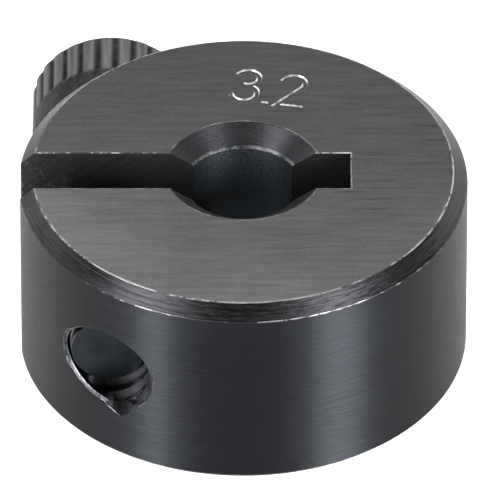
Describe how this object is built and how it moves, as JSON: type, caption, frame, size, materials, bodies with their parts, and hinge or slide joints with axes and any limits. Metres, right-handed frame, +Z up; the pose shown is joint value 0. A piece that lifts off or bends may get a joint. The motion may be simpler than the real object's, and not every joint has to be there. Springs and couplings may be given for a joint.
{
  "type": "shaft collar",
  "caption": "Slim one-piece clamp-on shaft collar of black steel: a round ring with a bore, a saw slot and a knurled socket-head clamp screw.",
  "frame": {"origin": "on the bore's axis, in the plane of the bottom end face", "axes": "+Z up the bore; -X through the open end of the saw slot; +Y towards the clamp screw's head"},
  "size_m": [0.0126, 0.0136, 0.0061],
  "materials": {
    "collar_steel": "black oxide over turned rim and ground end faces, bright where edges are worn",
    "screw_steel": "black oxide alloy steel, knurled head"
  },
  "bodies": {
    "collar": {"collar_body": "collar_steel"},
    "screw": {"clamp_screw": "screw_steel"}
  },
  "joints": [
    {"name": "screw_turn", "type": "hinge", "parent": "collar", "child": "screw", "pos_m": [-0.00378, 0, 0.00305], "axis": [0, -1, 0], "range_deg": [-180, 90]}
  ]
}
